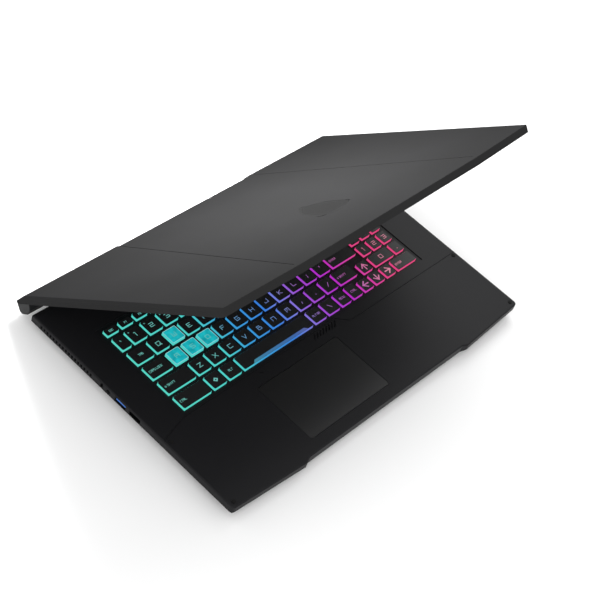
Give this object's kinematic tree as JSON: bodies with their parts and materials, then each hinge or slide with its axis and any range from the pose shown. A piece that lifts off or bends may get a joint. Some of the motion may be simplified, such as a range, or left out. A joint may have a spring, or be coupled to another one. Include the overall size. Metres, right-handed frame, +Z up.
{
  "type": "laptop computer",
  "caption": "Large laptop computer, lid partly open on a rear hinge bar, with a backlit full-width keyboard, number pad, touchpad and side sockets.",
  "frame": {"origin": "middle of the bounding box on the surface the feet stand on, lid at its rest angle", "axes": "+X to the user's right, +Y to the back (hinge side), +Z up; the user sits on the -Y side"},
  "size_m": [0.398, 0.2768, 0.2],
  "materials": {
    "case_plastic": "fine matt texture, charcoal black",
    "underside_plastic": "matt textured",
    "lid_plastic": "satin dark grey paint",
    "bar_plastic": "matt",
    "bezel_plastic": "fine matt texture",
    "pad_surface": "smooth satin",
    "rubber_black": "matt",
    "screw_steel": "blackened",
    "plate_steel": "zinc plated",
    "light_sheet": "diffusing film",
    "board_green": "solder mask",
    "copper_pipe": "bright copper",
    "fin_aluminium": "plain",
    "fan_plastic": "moulded",
    "battery_wrap": "printed film, bare",
    "socket_metal": "tin plated",
    "usb_blue": "moulded tongue in a plated shell",
    "socket_plastic": "moulded",
    "hinge_steel": "ground",
    "light_lens": "lit lens",
    "button_plastic": "matt",
    "key_teal": "lit translucent cap",
    "key_black": "satin black with lit skirt",
    "screen_glass": "anti-glare screen, dark",
    "camera_lens": "gloss lens",
    "antenna_foil": "thin foil on film",
    "cable_black": "taped cable"
  },
  "bodies": {
    "base": {"top_case": "case_plastic", "bottom_cover": "underside_plastic", "rubber_feet": "rubber_black", "bottom_screws": "screw_steel", "keyboard_plate": "plate_steel", "backlight_sheet": "light_sheet", "mainboard": "board_green", "heat_pipes": "copper_pipe", "fin_stacks": "fin_aluminium", "fan_housing_left": "fan_plastic", "fan_housing_right": "fan_plastic", "battery_pack": "battery_wrap", "memory_modules": "board_green", "storage_drive": "board_green", "wireless_card": "board_green", "speakers": "fan_plastic", "dc_inlet": "socket_plastic", "usb_sockets": "usb_blue", "usb_c_socket": "socket_metal", "video_socket": "socket_metal", "audio_jack": "socket_plastic", "hinge_bracket_left": "hinge_steel", "hinge_bracket_right": "hinge_steel", "hinge_covers": "case_plastic", "deck_bumpers": "rubber_black", "status_lights": "light_lens"},
    "lid": {"lid_cover": "lid_plastic", "screen_bezel": "bezel_plastic", "display_panel": "screen_glass", "webcam": "camera_lens", "hinge_bar": "bar_plastic", "hinge_pin_left": "hinge_steel", "hinge_pin_right": "hinge_steel", "antennas": "antenna_foil", "display_cable": "cable_black"},
    "fan_left": {"fan_rotor_left": "fan_plastic"},
    "fan_right": {"fan_rotor_right": "fan_plastic"},
    "touchpad": {"touchpad_plate": "pad_surface"},
    "power_key": {"power_button": "button_plastic"},
    "key_w_cap": {"key_w": "key_teal"},
    "key_a_cap": {"key_a": "key_teal"},
    "key_s_cap": {"key_s": "key_teal"},
    "key_d_cap": {"key_d": "key_teal"},
    "key_space_cap": {"key_space": "key_black"},
    "key_enter_cap": {"key_enter": "key_black"},
    "key_backspace_cap": {"key_backspace": "key_black"},
    "key_up_cap": {"key_up": "key_black"},
    "key_left_cap": {"key_left": "key_black"},
    "key_down_cap": {"key_down": "key_black"},
    "key_right_cap": {"key_right": "key_black"},
    "function_keys_bank": {"function_keys": "key_black"},
    "number_keys_bank": {"number_keys": "key_black"},
    "upper_letter_keys_bank": {"upper_letter_keys": "key_black"},
    "home_letter_keys_bank": {"home_letter_keys": "key_black"},
    "lower_letter_keys_bank": {"lower_letter_keys": "key_black"},
    "modifier_keys_bank": {"modifier_keys": "key_black"},
    "numpad_keys_bank": {"numpad_keys": "key_black"}
  },
  "joints": [
    {"name": "lid_hinge", "type": "hinge", "parent": "base", "child": "lid", "pos_m": [0, 0.13184, 0.0178], "axis": [-1, 0, 0], "range_deg": [-40.8, 99.2]},
    {"name": "fan_left_spin", "type": "hinge", "parent": "base", "child": "fan_left", "pos_m": [-0.143, 0.05534, 0.007], "axis": [0, 0, 1], "continuous": true},
    {"name": "fan_right_spin", "type": "hinge", "parent": "base", "child": "fan_right", "pos_m": [0.143, 0.05534, 0.007], "axis": [0, 0, 1], "continuous": true},
    {"name": "touchpad_click", "type": "hinge", "parent": "base", "child": "touchpad", "pos_m": [-0.0397, -0.05666, 0.0171], "axis": [1, 0, 0], "range_deg": [0, 0.35], "stiffness_Nm_per_rad": 6, "springref_deg": -0.23},
    {"name": "power_press", "type": "slide", "parent": "base", "child": "power_key", "axis": [0, 0, -1], "range_m": [0, 0.0005], "stiffness_N_per_m": 800, "springref_m": -0.0005},
    {"name": "key_w_press", "type": "slide", "parent": "base", "child": "key_w_cap", "axis": [0, 0, -1], "range_m": [0, 0.0015], "stiffness_N_per_m": 250, "springref_m": -0.001},
    {"name": "key_a_press", "type": "slide", "parent": "base", "child": "key_a_cap", "axis": [0, 0, -1], "range_m": [0, 0.0015], "stiffness_N_per_m": 250, "springref_m": -0.001},
    {"name": "key_s_press", "type": "slide", "parent": "base", "child": "key_s_cap", "axis": [0, 0, -1], "range_m": [0, 0.0015], "stiffness_N_per_m": 250, "springref_m": -0.001},
    {"name": "key_d_press", "type": "slide", "parent": "base", "child": "key_d_cap", "axis": [0, 0, -1], "range_m": [0, 0.0015], "stiffness_N_per_m": 250, "springref_m": -0.001},
    {"name": "key_space_press", "type": "slide", "parent": "base", "child": "key_space_cap", "axis": [0, 0, -1], "range_m": [0, 0.0015], "stiffness_N_per_m": 250, "springref_m": -0.001},
    {"name": "key_enter_press", "type": "slide", "parent": "base", "child": "key_enter_cap", "axis": [0, 0, -1], "range_m": [0, 0.0015], "stiffness_N_per_m": 250, "springref_m": -0.001},
    {"name": "key_backspace_press", "type": "slide", "parent": "base", "child": "key_backspace_cap", "axis": [0, 0, -1], "range_m": [0, 0.0015], "stiffness_N_per_m": 250, "springref_m": -0.001},
    {"name": "key_up_press", "type": "slide", "parent": "base", "child": "key_up_cap", "axis": [0, 0, -1], "range_m": [0, 0.0015], "stiffness_N_per_m": 250, "springref_m": -0.001},
    {"name": "key_left_press", "type": "slide", "parent": "base", "child": "key_left_cap", "axis": [0, 0, -1], "range_m": [0, 0.0015], "stiffness_N_per_m": 250, "springref_m": -0.001},
    {"name": "key_down_press", "type": "slide", "parent": "base", "child": "key_down_cap", "axis": [0, 0, -1], "range_m": [0, 0.0015], "stiffness_N_per_m": 250, "springref_m": -0.001},
    {"name": "key_right_press", "type": "slide", "parent": "base", "child": "key_right_cap", "axis": [0, 0, -1], "range_m": [0, 0.0015], "stiffness_N_per_m": 250, "springref_m": -0.001},
    {"name": "function_keys_press", "type": "slide", "parent": "base", "child": "function_keys_bank", "axis": [0, 0, -1], "range_m": [0, 0.0015], "stiffness_N_per_m": 4750, "springref_m": -0.001},
    {"name": "number_keys_press", "type": "slide", "parent": "base", "child": "number_keys_bank", "axis": [0, 0, -1], "range_m": [0, 0.0015], "stiffness_N_per_m": 3250, "springref_m": -0.001},
    {"name": "upper_letter_keys_press", "type": "slide", "parent": "base", "child": "upper_letter_keys_bank", "axis": [0, 0, -1], "range_m": [0, 0.0015], "stiffness_N_per_m": 3250, "springref_m": -0.001},
    {"name": "home_letter_keys_press", "type": "slide", "parent": "base", "child": "home_letter_keys_bank", "axis": [0, 0, -1], "range_m": [0, 0.0015], "stiffness_N_per_m": 2250, "springref_m": -0.001},
    {"name": "lower_letter_keys_press", "type": "slide", "parent": "base", "child": "lower_letter_keys_bank", "axis": [0, 0, -1], "range_m": [0, 0.0015], "stiffness_N_per_m": 3000, "springref_m": -0.001},
    {"name": "modifier_keys_press", "type": "slide", "parent": "base", "child": "modifier_keys_bank", "axis": [0, 0, -1], "range_m": [0, 0.0015], "stiffness_N_per_m": 1750, "springref_m": -0.001},
    {"name": "numpad_keys_press", "type": "slide", "parent": "base", "child": "numpad_keys_bank", "axis": [0, 0, -1], "range_m": [0, 0.0015], "stiffness_N_per_m": 3750, "springref_m": -0.001}
  ]
}
